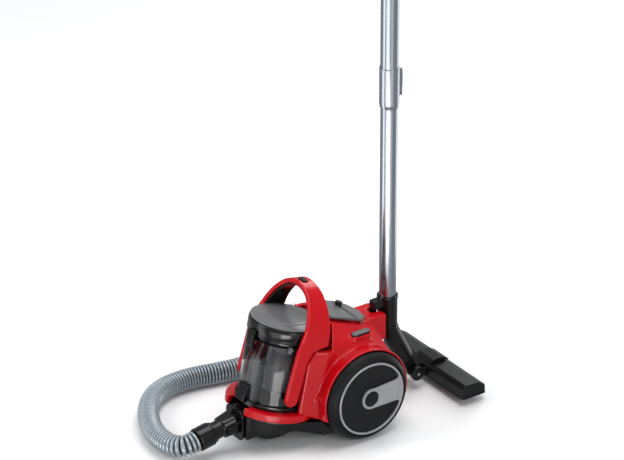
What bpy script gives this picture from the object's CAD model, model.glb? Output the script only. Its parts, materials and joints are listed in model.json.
import json
from math import cos, pi, radians, sin

import bmesh
import bpy
import numpy as np
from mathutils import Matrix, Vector


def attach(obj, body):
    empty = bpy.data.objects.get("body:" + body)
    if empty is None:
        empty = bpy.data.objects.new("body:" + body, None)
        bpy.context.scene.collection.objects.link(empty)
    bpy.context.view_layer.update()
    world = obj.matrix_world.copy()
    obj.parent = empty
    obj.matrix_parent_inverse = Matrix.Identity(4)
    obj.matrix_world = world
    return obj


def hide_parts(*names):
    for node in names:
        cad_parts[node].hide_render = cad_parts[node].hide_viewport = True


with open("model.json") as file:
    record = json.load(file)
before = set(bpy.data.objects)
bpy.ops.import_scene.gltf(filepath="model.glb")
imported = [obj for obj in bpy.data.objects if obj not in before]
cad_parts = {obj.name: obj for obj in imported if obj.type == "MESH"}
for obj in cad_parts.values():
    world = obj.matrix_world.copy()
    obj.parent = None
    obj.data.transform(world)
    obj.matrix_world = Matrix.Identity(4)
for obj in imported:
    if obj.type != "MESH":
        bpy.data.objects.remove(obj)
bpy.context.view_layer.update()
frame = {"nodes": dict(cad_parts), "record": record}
MM = 0.001


# ------------------------------------------------------------------ materials
PATCH_DETAIL = 4.0
GRAIN_DETAIL = 2.0
GRAIN_DEPTH = 0.0004        # metres
TUBE_BRUSHING = 0.75        # how far reflections stretch around the tube


def material(name, color, rough, metal=0.0, spec=0.5, transmission=0.0, ior=1.45,
             grain=0.0, grain_scale=900.0, vary=0.04, vary_scale=14.0, rough_vary=0.06):
    """A Principled material with mottled colour and roughness, and a fine grain where asked."""
    mat = bpy.data.materials.new(name)
    mat.use_nodes = True
    nodes = mat.node_tree.nodes
    links = mat.node_tree.links
    shader = nodes["Principled BSDF"]
    shader.inputs["Metallic"].default_value = metal
    shader.inputs["Specular IOR Level"].default_value = spec
    shader.inputs["Transmission Weight"].default_value = transmission
    shader.inputs["IOR"].default_value = ior
    place = nodes.new("ShaderNodeTexCoord")
    patches = nodes.new("ShaderNodeTexNoise")
    patches.inputs["Scale"].default_value = vary_scale
    patches.inputs["Detail"].default_value = PATCH_DETAIL
    links.new(place.outputs["Object"], patches.inputs["Vector"])
    tint = nodes.new("ShaderNodeMix")
    tint.data_type = "RGBA"
    tint.inputs["A"].default_value = (*[c * (1 - vary) for c in color], 1)
    tint.inputs["B"].default_value = (*[min(1, c * (1 + vary)) for c in color], 1)
    links.new(patches.outputs["Fac"], tint.inputs["Factor"])
    links.new(tint.outputs["Result"], shader.inputs["Base Color"])
    spread = nodes.new("ShaderNodeMapRange")
    spread.inputs["To Min"].default_value = max(0.0, rough - rough_vary)
    spread.inputs["To Max"].default_value = min(1.0, rough + rough_vary)
    links.new(patches.outputs["Fac"], spread.inputs["Value"])
    links.new(spread.outputs["Result"], shader.inputs["Roughness"])
    if grain:
        fine = nodes.new("ShaderNodeTexNoise")
        fine.inputs["Scale"].default_value = grain_scale
        fine.inputs["Detail"].default_value = GRAIN_DETAIL
        links.new(place.outputs["Object"], fine.inputs["Vector"])
        bump = nodes.new("ShaderNodeBump")
        bump.inputs["Strength"].default_value = grain
        bump.inputs["Distance"].default_value = GRAIN_DEPTH
        links.new(fine.outputs["Fac"], bump.inputs["Height"])
        links.new(bump.outputs["Normal"], shader.inputs["Normal"])
    return mat


# slot, colour, roughness, and what else differs from a plain plastic
LOOKS = (
    ("red_plastic", (0.50, 0.0015, 0.006), 0.24, dict(spec=0.35, vary=0.02, rough_vary=0.03)),
    ("black_plastic", (0.004, 0.004, 0.0045), 0.2, dict(spec=0.4, vary=0.1)),
    ("dark_plastic", (0.006, 0.006, 0.0065), 0.33, dict(spec=0.3, grain=0.2, vary=0.08)),
    ("grey_plastic", (0.12, 0.122, 0.125), 0.3, dict(grain=0.06)),
    ("silver_plastic", (0.36, 0.36, 0.365), 0.34, dict(metal=0.35, grain=0.1, grain_scale=1600)),
    ("clear_plastic", (0.62, 0.63, 0.64), 0.03, dict(transmission=1.0, ior=1.3, rough_vary=0.02)),
    ("smoke_plastic", (0.45, 0.46, 0.47), 0.15, dict(transmission=0.6, ior=1.3)),
    ("rubber", (0.0045, 0.005, 0.0055), 0.5, dict(spec=0.24, grain=0.25, vary=0.12)),
    ("steel", (0.5, 0.5, 0.5), 0.3, dict(metal=1.0, grain=0.1)),
    ("aluminium", (0.6, 0.6, 0.62), 0.35, dict(metal=1.0, grain=0.1)),
    ("chrome_tube", (0.36, 0.39, 0.43), 0.2, dict(metal=1.0, vary=0.02, rough_vary=0.03)),
    ("hose_plastic", (0.33, 0.375, 0.41), 0.3, dict(metal=0.3, vary=0.05)),
    ("hose_groove", (0.012, 0.014, 0.016), 0.6, dict(spec=0.2, vary=0.1)),
    ("filter_paper", (0.7, 0.68, 0.62), 0.9, dict(grain=0.4)),
    ("circuit_board", (0.01, 0.12, 0.04), 0.4, dict(vary=0.3, vary_scale=90)),
    ("brush_fibre", (0.02, 0.02, 0.02), 0.8, dict(grain=0.9, grain_scale=1400)),
)
MATERIALS = {slot: material(slot, color, rough, **extras) for slot, color, rough, extras in LOOKS}

# the drawn tube is brushed around its axis, so reflections stretch along it
tube_tree = MATERIALS["chrome_tube"].node_tree
tube_shader = tube_tree.nodes["Principled BSDF"]
tube_shader.inputs["Anisotropic"].default_value = TUBE_BRUSHING
tangent = tube_tree.nodes.new("ShaderNodeTangent")
tangent.direction_type = "RADIAL"
tangent.axis = "Z"
tube_tree.links.new(tangent.outputs["Tangent"], tube_shader.inputs["Tangent"])

SLOT_OF = {part["node"]: part["material_slot"] for part in frame["record"]["subparts"]}
BODY_OF = {node_name: body_name
           for body_name, node_names in frame["record"]["behaviour"]["bodies"].items()
           for node_name in node_names}

for node_name, node in frame["nodes"].items():
    node.data.materials.clear()
    node.data.materials.append(MATERIALS[SLOT_OF[node_name]])


# ------------------------------------------------------------------ mesh tools
WELD = 1e-6                 # metres
SMOOTHING = 0.5             # share of the way each round moves a point
BEVEL_ANGLE = 35            # degrees; sharper edges are bevelled
BEVEL_CREASE = 40


def mesh_object(name, points, faces, slot):
    """A mesh from points in millimetres, in the object's frame, with the slot's material."""
    data = bpy.data.meshes.new(name)
    data.from_pydata([tuple(c * MM for c in p) for p in points], [], faces)
    data.update()
    obj = bpy.data.objects.new(name, data)
    bpy.context.scene.collection.objects.link(obj)
    data.materials.append(MATERIALS[slot])
    obj["slot"] = slot
    tidy_normals(obj)
    return obj


def tidy_normals(obj):
    """Welds points that coincide and turns every face outward."""
    mesh = bmesh.new()
    mesh.from_mesh(obj.data)
    bmesh.ops.remove_doubles(mesh, verts=mesh.verts, dist=WELD)
    bmesh.ops.recalc_face_normals(mesh, faces=mesh.faces)
    mesh.to_mesh(obj.data)
    mesh.free()


def grid_solid(name, rings, slot, loop=False):
    """Skins a list of equal rings of points: loop joins the last to the first, or the ends are capped."""
    count = len(rings[0])
    points = [p for ring in rings for p in ring]
    faces = []
    spans = len(rings) if loop else len(rings) - 1
    for i in range(spans):
        j = (i + 1) % len(rings)
        for k in range(count):
            m = (k + 1) % count
            faces.append((i * count + k, i * count + m, j * count + m, j * count + k))
    if not loop:
        faces.append(tuple(range(count))[::-1])
        faces.append(tuple((len(rings) - 1) * count + k for k in range(count)))
    return mesh_object(name, points, faces, slot)


def apply_modifiers(obj):
    """Bakes the object's modifiers into its mesh."""
    depsgraph = bpy.context.evaluated_depsgraph_get()
    depsgraph.update()
    result = bpy.data.meshes.new_from_object(obj.evaluated_get(depsgraph))
    old = obj.data
    obj.modifiers.clear()
    obj.data = result
    bpy.data.meshes.remove(old)


def cut(obj, cutter):
    """Takes the cutter out of the object, and removes the cutter."""
    step = obj.modifiers.new("cut", "BOOLEAN")
    step.operation = "DIFFERENCE"
    step.solver = "EXACT"
    step.object = cutter
    apply_modifiers(obj)
    bpy.data.objects.remove(cutter)


def join(obj, extras):
    """Adds the extras' faces to the object, and removes the extras."""
    mesh = bmesh.new()
    for part in [obj] + extras:
        mesh.from_mesh(part.data)
    mesh.to_mesh(obj.data)
    mesh.free()
    for extra in extras:
        bpy.data.objects.remove(extra)


def shade(obj, crease=None):
    """Smooth shading, with edges sharper than the crease angle, in degrees, left sharp."""
    for polygon in obj.data.polygons:
        polygon.use_smooth = True
    if crease:
        obj.data.set_sharp_from_angle(angle=radians(crease))


def soften(obj, voxel, rounds):
    """Rounds every edge of a moulded solid: a fine remesh, then a few smoothing rounds."""
    remesh = obj.modifiers.new("remesh", "REMESH")
    remesh.mode = "VOXEL"
    remesh.voxel_size = voxel * MM
    smooth = obj.modifiers.new("smooth", "SMOOTH")
    smooth.iterations = rounds
    smooth.factor = SMOOTHING
    apply_modifiers(obj)
    shade(obj)


def bevelled(obj, width, segments):
    """Rounds the sharp edges of a piece by the width, in millimetres."""
    bevel = obj.modifiers.new("bevel", "BEVEL")
    bevel.width = width * MM
    bevel.segments = segments
    bevel.limit_method = "ANGLE"
    bevel.angle_limit = radians(BEVEL_ANGLE)
    apply_modifiers(obj)
    shade(obj, BEVEL_CREASE)


def finish_piece(obj, body, *nodes):
    """Hands a made piece to its body, in place of the CAD nodes named."""
    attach(obj, body)
    if nodes:
        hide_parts(*nodes)


class Basis:
    """A local frame: origin and three axes, in millimetres of the object's frame."""

    def __init__(self, origin, x_dir, z_dir):
        self.o = Vector(origin)
        self.z = Vector(z_dir).normalized()
        self.x = Vector(x_dir).normalized()
        self.y = self.z.cross(self.x)

    def point(self, a, b, c):
        return tuple(self.o + self.x * a + self.y * b + self.z * c)


def revolve(name, basis, profile, slot, segments, crease):
    """Turns (radius, height) points about the basis's z axis."""
    rings = []
    for k in range(segments):
        turn = 2 * pi * k / segments
        rings.append([basis.point(r * cos(turn), r * sin(turn), h) for r, h in profile])
    obj = grid_solid(name, rings, slot, loop=True)
    shade(obj, crease)
    return obj


def prism(name, basis, outline, low, high, slot):
    """Extrudes an outline of (a, b) points from low to high along the basis's z axis."""
    rings = [[basis.point(a, b, h) for a, b in outline] for h in (low, high)]
    return grid_solid(name, rings, slot)


def box_solid(name, x, y, z):
    """A box between two limits on each axis, to cut with."""
    base = Basis((0, 0, 0), (1, 0, 0), (0, 0, 1))
    outline = [(x[0], y[0]), (x[1], y[0]), (x[1], y[1]), (x[0], y[1])]
    return prism(name, base, outline, z[0], z[1], "black_plastic")


def arc_points(cx, cy, radius, start, end, steps):
    """Points on a circle from start to end, in degrees."""
    turns = np.linspace(radians(start), radians(end), steps)
    return [(cx + radius * cos(t), cy + radius * sin(t)) for t in turns]


def pill(length, width, steps=12):
    """Outline of a slot along b, centred on zero."""
    r = width / 2
    run = length / 2 - r
    return arc_points(0, run, r, 0, 180, steps) + arc_points(0, -run, r, 180, 360, steps)


# ------------------------------------------------------------------ stage, in metres
TO_CAMERA = Vector((0.7279, -0.5097, 0.4587)).normalized()
TARGET = Vector((-52.1, -8.9, 373.9)) * MM
CAMERA_DISTANCE = 8.0
CAMERA_REACH = 60.0
PICTURE_WIDTH = 1.1774      # across the frame at the target
SENSOR_WIDTH = 36.0         # millimetres
FLOOR_HALF = 40.0
FLOOR_TONE = (0.86, 0.86, 0.86)
SKY_TONE = (0.95, 0.97, 1.0, 1)
SKY_STRENGTH = 0.45

camera_data = bpy.data.cameras.new("camera")
camera_data.sensor_width = SENSOR_WIDTH
camera_data.lens = SENSOR_WIDTH * CAMERA_DISTANCE / PICTURE_WIDTH
camera_data.clip_end = CAMERA_REACH
camera = bpy.data.objects.new("camera", camera_data)
camera.location = TARGET + TO_CAMERA * CAMERA_DISTANCE
camera.rotation_euler = (-TO_CAMERA).to_track_quat("-Z", "Y").to_euler()
bpy.context.scene.collection.objects.link(camera)
bpy.context.scene.camera = camera

floor_mesh = bpy.data.meshes.new("floor")
floor_mesh.from_pydata([(-FLOOR_HALF, -FLOOR_HALF, 0), (FLOOR_HALF, -FLOOR_HALF, 0),
                        (FLOOR_HALF, FLOOR_HALF, 0), (-FLOOR_HALF, FLOOR_HALF, 0)], [], [(0, 1, 2, 3)])
floor = bpy.data.objects.new("floor", floor_mesh)
bpy.context.scene.collection.objects.link(floor)
floor_mesh.materials.append(material("studio_floor", FLOOR_TONE, 0.75, vary=0.005, vary_scale=0.6))
floor.visible_glossy = False


def softbox(name, place, aim, width, height, power):
    """A rectangular light that faces its aim."""
    light = bpy.data.lights.new(name, "AREA")
    light.shape = "RECTANGLE"
    light.size = width
    light.size_y = height
    light.energy = power
    obj = bpy.data.objects.new(name, light)
    obj.location = place
    obj.rotation_euler = (Vector(aim) - Vector(place)).to_track_quat("-Z", "Y").to_euler()
    bpy.context.scene.collection.objects.link(obj)
    return obj


AHEAD = Vector((TO_CAMERA.x, TO_CAMERA.y, 0)).normalized()
RIGHT = Vector((-AHEAD.y, AHEAD.x, 0))


def reflector(name, centre, distance, turn, width, low, high, brightness):
    """A panel that shows only in glossy surfaces, turned in degrees to the right of the camera's side."""
    way = AHEAD * cos(radians(turn)) + RIGHT * sin(radians(turn))
    height = high - low
    middle = Vector((*centre, (low + high) / 2))
    panel = softbox(name, middle + way * distance, middle, width, height, brightness * pi * width * height)
    panel.visible_camera = False
    panel.visible_diffuse = False


# place, aim, width, height and power in watts
softbox("key", (-1.4, -2.8, 2.4), (0, 0, 0.2), 1.4, 1.8, 62)
softbox("fill", (3.0, -0.2, 1.5), (0, 0, 0.2), 0.8, 1.8, 30)
softbox("top", (0.0, 0.4, 3.4), (0, 0, 0.0), 2.4, 2.4, 66)
softbox("rim", (-1.6, 2.6, 2.2), (0, 0, 0.3), 1.4, 1.4, 30)

# distance, turn, width, low, high and brightness: a wide band left of the tube's middle, a grey
# one right of it and an edge light behind on the right, all low enough for the tilted view
TUBE_PLACE = (0, 0.13)
reflector("tube_band", TUBE_PLACE, 2.5, -22, 1.9, -1.02, 0.2, 2.2)
reflector("tube_grey", TUBE_PLACE, 2.5, 28, 1.3, -1.02, 0.2, 0.75)
reflector("tube_edge", TUBE_PLACE, 2.5, 128, 1.6, -1.02, 0.2, 1.6)
# panels low beside the machine, for the bin, the lid band and the wheel
BIN_PLACE = (0, -0.138)
reflector("bin_panel", BIN_PLACE, 1.2, 5, 0.6, -0.36, -0.02, 11.0)
reflector("side_panel", BIN_PLACE, 2.0, -75, 0.9, -1.4, 0.4, 2.5)

world = bpy.data.worlds.new("studio")
world.use_nodes = True
sky = world.node_tree.nodes["Background"]
sky.inputs["Color"].default_value = SKY_TONE
sky.inputs["Strength"].default_value = SKY_STRENGTH
bpy.context.scene.world = world
bpy.context.scene.view_settings.view_transform = "Standard"


# ------------------------------------------------------------------ hose
# from the connector at the front, along the machine's right side, to the cuff of the hand grip
HOSE_ROUTE = ((0, -310.6, 39.8), (0, -329, 36.2), (-10, -343, 32.6), (-34, -350, 28.8), (-76, -348, 25),
              (-124, -333, 22), (-172, -308, 21.4), (-212, -273, 21.4), (-234, -228, 21.4),
              (-236, -168, 21.4), (-220, -108, 21.4), (-210, -50, 21.4), (-236, 0, 21.4), (-285, 33, 21.4),
              (-328, 62, 21.4), (-348, 106, 21.4), (-333, 152, 21.4), (-293, 184, 21.4), (-243, 190, 21.4),
              (-203, 168, 22.2), (-186, 136, 23.3))
HOSE_SIDES = 40
HOSE_CREASE = 55            # degrees
ROUTE_STEPS = 24            # between two points of the route
TANGENT_REACH = 0.004       # metres each way

RIBS = 138
RIDGE_R = 20.9
SHOULDER_R = RIDGE_R - 0.7
GROOVE_R = 16.4
GROOVE_LIMIT = GROOVE_R + 1.6
# (share of the rib's width, radius) through one rib
RIB_SHAPE = ((0.0, GROOVE_R), (0.22, GROOVE_R), (0.34, SHOULDER_R), (0.44, RIDGE_R),
             (0.68, RIDGE_R), (0.78, SHOULDER_R), (0.90, GROOVE_R))
# the hose is pulled out near the machine and closes up further along: rib numbers and widths
RIB_PULL = ((0, 12, 45, RIBS), (1.12, 1.1, 1.0, 0.96))


def spline_points(route):
    """Points on the NURBS line that has the route's points as its control points."""
    curve = bpy.data.curves.new("route", "CURVE")
    curve.dimensions = "3D"
    curve.resolution_u = ROUTE_STEPS
    spline = curve.splines.new("NURBS")
    spline.points.add(len(route) - 1)
    for point, place in zip(spline.points, route):
        point.co = (*[c * MM for c in place], 1.0)
    spline.order_u = 3
    spline.use_endpoint_u = True
    carrier = bpy.data.objects.new("route", curve)
    bpy.context.scene.collection.objects.link(carrier)
    line = bpy.data.meshes.new_from_object(carrier)
    points = [v.co.copy() for v in line.vertices]
    bpy.data.objects.remove(carrier)
    return points


def rib_stations(run):
    """Distances along a hose of the given run, and the radius at each, rib after rib."""
    widths = np.interp(np.arange(RIBS), *RIB_PULL)
    starts = np.concatenate([[0], np.cumsum(widths)]) / widths.sum() * run
    distances = []
    radii = []
    for first, last in zip(starts, starts[1:]):
        for share, radius in RIB_SHAPE:
            distances.append(first + share * (last - first))
            radii.append(radius)
    return np.array(distances), radii


def corrugated_hose(name, points):
    """A ribbed tube along a line of points in metres, with its grooves in a darker material."""
    line = np.array([tuple(p) for p in points])
    steps = np.linalg.norm(np.diff(line, axis=0), axis=1)
    travel = np.concatenate([[0], np.cumsum(steps)])

    def at(distances):
        return np.stack([np.interp(distances, travel, line[:, k]) for k in range(3)], 1)

    distances, radii = rib_stations(travel[-1])
    tangents = at(distances + TANGENT_REACH) - at(distances - TANGENT_REACH)
    rings = []
    for centre, tangent, radius in zip(at(distances), tangents, radii):
        t = Vector(tangent).normalized()
        up = (Vector((0, 0, 1)) - t * t.z).normalized()
        across = t.cross(up)
        ring = []
        for k in range(HOSE_SIDES):
            turn = 2 * pi * k / HOSE_SIDES
            ring.append(tuple(Vector(centre) / MM + (up * cos(turn) + across * sin(turn)) * radius))
        rings.append(ring)
    obj = grid_solid(name, rings, "hose_plastic")
    shade(obj, HOSE_CREASE)
    obj.data.materials.append(MATERIALS["hose_groove"])
    for polygon in obj.data.polygons:
        if len(polygon.vertices) == 4:
            station = min(polygon.vertices) // HOSE_SIDES
            mean_radius = (radii[station] + radii[min(station + 1, len(radii) - 1)]) / 2
            polygon.material_index = 1 if mean_radius < GROOVE_LIMIT else 0
    return obj


hose_line = spline_points(HOSE_ROUTE)
hose = corrugated_hose("hose_bellows", hose_line)
finish_piece(hose, "root", "hose")


# ------------------------------------------------------------------ moulded pieces
BIN_TILT = radians(11.7)    # the bin leans back
BIN = Basis((0, -138, 86), (1, 0, 0), (0, sin(BIN_TILT), cos(BIN_TILT)))
SIDES = (1, -1)             # the machine's left and right

FAIRING_FOOT = 59.9
# (x, y, top) around the fairing
FAIRING_PLAN = ((67, -107, 79), (82, -107, 81), (88, -102.5, 92), (95, -97, 112), (108, -95, 96),
                (112, -93.5, 90), (112, -88, 90), (96, -84, 120), (80, -78, 120), (66, -88, 90))
# (height, front edge) up the flank, in the bin's frame
FLANK_LEVELS = ((-14, 8.4), (94, 8.4), (104, 13), (118, 21))
# x, y, z and radius of the balls where the casing's wall runs thin
THIN_CORNERS = ((79.5, -53, 198, 5.0), (79.5, -41, 195.5, 5.5), (79, -30, 193, 5.5))
BALL_RINGS = 9
BALL_SIDES = 16
BALL_POLE_R = 0.01          # the poles stay open by this much, so that no ring collapses
# the rim's notch around the hose port: x, y and z limits
PORT_NOTCH = ((-28, 28), (-245, -203.5), (30, 120))


def wheel_arch_fairing(sign):
    """Fills the corner between the red rim and the lip over the wheel."""
    low = [(sign * x, y, FAIRING_FOOT) for x, y, _ in FAIRING_PLAN]
    high = [(sign * x, y, top) for x, y, top in FAIRING_PLAN]
    return grid_solid("fairing", [low, high], "red_plastic")


def flank(sign):
    """The flat flank behind the arch's leg."""
    rings = []
    for w, front in FLANK_LEVELS:
        plan = ((72.5, front), (80.5, front), (82.2, front + 3), (91.5, 44), (91.5, 60), (76, 60),
                (72.5, front + 14))
        rings.append([BIN.point(sign * u, v, w) for u, v in plan])
    return grid_solid("flank", rings, "red_plastic")


def thickening(x, y, z, radius):
    """A ball under a corner of the shell where its wall runs thin."""
    ball = Basis((x, y, z), (1, 0, 0), (0, 0, 1))
    profile = [(max(radius * sin(t), BALL_POLE_R), -radius * cos(t)) for t in np.linspace(0, pi, BALL_RINGS)]
    turns = np.linspace(0, 2 * pi, BALL_SIDES, endpoint=False)
    rings = [[ball.point(r * cos(a), r * sin(a), h) for a in turns] for r, h in profile]
    return grid_solid("thickening", rings, "red_plastic")


def moulded(node, voxel, rounds):
    """A shell with the node's form and softly rounded edges, in the node's place."""
    data = frame["nodes"][node].data.copy()
    data.name = node + "_shell"
    obj = bpy.data.objects.new(node + "_shell", data)
    bpy.context.scene.collection.objects.link(obj)
    obj["slot"] = SLOT_OF[node]
    tidy_normals(obj)
    if node == "upper_casing":
        join(obj, [wheel_arch_fairing(sign) for sign in SIDES]
             + [flank(sign) for sign in SIDES]
             + [thickening(sign * x, y, z, r) for sign in SIDES for x, y, z, r in THIN_CORNERS])
    if node == "bumper_rim":
        cut(obj, box_solid("port_notch", *PORT_NOTCH))
    soften(obj, voxel, rounds)
    obj.data.materials.clear()
    obj.data.materials.append(MATERIALS[obj["slot"]])
    finish_piece(obj, BODY_OF[node], node)


# node, voxel size in mm, smoothing rounds: larger numbers give rounder edges
MOULDED = (
    ("upper_casing", 1.2, 22), ("bumper_rim", 1.1, 10), ("arch_handle", 1.1, 9), ("handle_liner", 0.9, 4),
    ("base_pan", 1.25, 7), ("hose_port", 1.0, 5), ("top_plate", 0.9, 5), ("hose_connector", 0.7, 3),
    ("hose_cuff", 0.9, 4), ("grip_cuff", 0.9, 4), ("hand_grip", 1.0, 9), ("neck_elbow", 1.0, 14),
    ("neck_socket", 0.8, 4), ("head_cover", 1.0, 7), ("head_pedal", 0.8, 5), ("front_lever", 0.6, 4),
    ("floor_catch", 0.6, 4), ("power_slider", 0.5, 3), ("release_button", 0.5, 3), ("inlet_riser", 0.8, 4),
    ("tube_release", 0.5, 3), ("tube_collar", 0.6, 3), ("caster_fork", 0.8, 3), ("cord_outlet", 0.6, 3),
    ("suction_regulator", 0.5, 3),
)
for node_name, voxel, rounds in MOULDED:
    moulded(node_name, voxel, rounds)


# ------------------------------------------------------------------ bin
# profiles are (radius, height above the bin's foot); the lid's is a band with two fine grooves
LID_BAND = (
    (64.2, 122.0), (62.6, 122.0), (62.6, 127.5), (64.2, 131.0), (64.2, 149.5), (62.4, 151.6),
    (0.6, 151.8), (0.6, 155.6), (58, 155.6), (64.2, 155.7), (66.6, 155.2), (68.4, 153.8), (69.3, 151.8),
    (69.5, 149.0), (69.5, 134.6), (69.3, 134.2), (68.8, 133.9), (68.8, 133.5), (69.3, 133.2), (69.5, 132.8),
    (69.4, 131.2), (69.1, 130.8), (68.6, 130.6), (68.5, 130.2), (68.8, 129.9), (68.7, 129.0), (68.1, 128.4),
    (64.4, 128.2))
# a wide top with a raised inner disc and a rim ring
LID_TOP = (
    (0.4, 155.9), (66.0, 155.9), (67.4, 156.3), (67.8, 157.0), (67.4, 157.7), (66.2, 158.0), (64.6, 157.9),
    (63.8, 157.5), (61.5, 158.2), (57.0, 159.2), (50.0, 160.5), (46.4, 161.0), (45.9, 161.6), (45.2, 162.0),
    (40.0, 162.5), (28.0, 163.3), (14.0, 163.9), (0.4, 164.1))
CONTAINER = (
    (64.6, -1.9), (66.6, -1.9), (67.0, -1.4), (67.0, 3.0), (66.9, 60.0), (67.0, 123.4), (66.6, 123.9),
    (64.9, 123.9), (64.6, 123.4), (64.6, 60.0), (64.6, 3.0))
CORE = (
    (19.2, 12.2), (27.4, 12.2), (28.4, 13.0), (28.8, 14.4), (28.8, 30.0), (29.4, 31.2), (30.6, 32.4),
    (31.0, 34.0), (31.0, 84.0), (31.4, 84.6), (31.4, 86.4), (31.0, 87.0), (31.0, 125.6), (29.0, 125.6),
    (29.0, 58.0), (19.2, 56.0))
CORE_SETBACK = 8            # the core stands this far behind the bin's middle
CORE_BASIS = Basis(BIN.point(0, CORE_SETBACK, 0), (1, 0, 0), BIN.z)

# name, frame, profile, slot, segments, crease in degrees, CAD node
BIN_PIECES = (
    ("bin_lid_band", BIN, LID_BAND, "black_plastic", 128, 38, "bin_lid"),
    ("lid_top_disc", BIN, LID_TOP, "grey_plastic", 128, 30, "lid_disc"),
    ("bin_container_shell", BIN, CONTAINER, "clear_plastic", 128, 50, "bin_container"),
    ("cyclone_core_shell", CORE_BASIS, CORE, "silver_plastic", 112, 40, "cyclone_core"),
)
for name, basis, profile, slot, segments, crease, node_name in BIN_PIECES:
    finish_piece(revolve(name, basis, profile, slot, segments, crease), "dust_bin", node_name)


# ------------------------------------------------------------------ wheels
# profiles are (radius, distance from the machine's middle plane)
AXLE_HEIGHT = 90
TYRE_R = 90.0
TYRE_INNER = ((76.1, 99.2), (86.0, 99.2), (88.8, 99.8), (TYRE_R, 101.4))
TREAD_GROOVES = (105.0, 109.0, 113.0)
GROOVE_FLOOR_R = 89.2
GROOVE_PLAN = ((-0.7, TYRE_R), (-0.45, GROOVE_FLOOR_R), (0.45, GROOVE_FLOOR_R), (0.7, TYRE_R))
TYRE_SHOULDER = (
    (89.9, 116.0), (89.0, 119.6), (87.0, 123.0), (84.2, 126.4), (81.4, 129.4), (79.4, 130.8), (77.8, 131.2),
    (76.6, 130.9), (76.1, 130.2))
TRIM_BACK = 129.1
RIM_RING = (
    (70.0, TRIM_BACK), (70.0, 131.6), (70.4, 132.3), (71.2, 132.6), (72.8, 132.6), (73.6, 132.3),
    (74.0, 131.6), (74.0, TRIM_BACK))
HUB_RING = (
    (16.0, TRIM_BACK), (16.0, 132.2), (16.5, 132.8), (17.4, 133.0), (19.6, 133.0), (20.6, 132.7),
    (21.0, 132.0), (21.0, TRIM_BACK))
SPOKE_FACE = 132.5
SPOKE_BEVEL = 0.5
# the spoke widens from the hub to the ring, and its corners flare along the ring
SPOKE_PLAN = (
    arc_points(0, 0, 20.5, -90, 90, 31)
    + [(30, 22.3), (54, 24.2), (58.5, 25.2), (61.6, 27.6), (62.9, 30.4), (62.6, 33.4)]
    + arc_points(0, 0, 71.4, 28.5, -24.0, 16)
    + [(64.2, -26.4), (63.6, -23.6), (61.0, -21.2), (57.5, -20.2), (30, -20.4)])
WHEEL_COVER = (
    (6.1, 107.2), (22.4, 107.2), (22.5, 122.8), (71.8, 122.9), (72.0, 103.1), (75.8, 103.1), (75.9, 128.6),
    (75.2, 129.3), (74.3, 129.4), (73.9, 128.9), (69.8, 128.9), (60.0, 128.4), (40.0, 127.9), (24.0, 128.2),
    (21.2, 128.8), (15.9, 128.9), (15.7, 131.6), (15.2, 132.4), (14.2, 132.8), (9.0, 133.0), (0.5, 133.05),
    (0.5, 124.0), (6.1, 123.6))

tyre_profile = TYRE_INNER + tuple((r, groove + offset) for groove in TREAD_GROOVES
                                  for offset, r in GROOVE_PLAN) + TYRE_SHOULDER
for side_name, sign in (("left", 1), ("right", -1)):
    wheel = Basis((0, 0, AXLE_HEIGHT), (0, sign, 0), (sign, 0, 0))
    body = side_name + "_wheel"
    tyre = revolve(side_name + "_tyre_rounded", wheel, tyre_profile, "rubber", 144, 32)
    finish_piece(tyre, body, side_name + "_tyre")

    ring = revolve(side_name + "_rim_ring", wheel, RIM_RING, "silver_plastic", 128, 40)
    hub = revolve(side_name + "_hub_ring", wheel, HUB_RING, "silver_plastic", 96, 40)
    spoke = prism(side_name + "_spoke", wheel, SPOKE_PLAN, TRIM_BACK, SPOKE_FACE, "silver_plastic")
    bevelled(spoke, SPOKE_BEVEL, 2)
    for piece in (ring, hub, spoke):
        finish_piece(piece, body)
    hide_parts(side_name + "_wheel_trim")

    disc = revolve(side_name + "_wheel_cover", wheel, WHEEL_COVER, "black_plastic", 128, 35)
    finish_piece(disc, body, side_name + "_wheel_disc")


# ------------------------------------------------------------------ foot buttons
BUTTON_X = 75
BUTTON_Y = 14
# (length, width) of the outline, and (low, high) above the floor
SKIRT_SIZE = (39.4, 13.4)
SKIRT_SPAN = (189.0, 203.2)
SKIRT_BEVEL = 0.8
CAP_SIZE = (38.6, 12.6)
CAP_SPAN = (202.8, 206.0)
CAP_BEVEL = 1.0
for node_name, sign in (("rewind_button", -1), ("power_button", 1)):
    button = Basis((sign * BUTTON_X, BUTTON_Y, 0), (1, 0, 0), (0, 0, 1))
    skirt = prism(node_name + "_skirt", button, pill(*SKIRT_SIZE), *SKIRT_SPAN, "black_plastic")
    bevelled(skirt, SKIRT_BEVEL, 3)
    cap = prism(node_name + "_cap", button, pill(*CAP_SIZE), *CAP_SPAN, "grey_plastic")
    bevelled(cap, CAP_BEVEL, 3)
    finish_piece(skirt, BODY_OF[node_name])
    finish_piece(cap, BODY_OF[node_name], node_name)
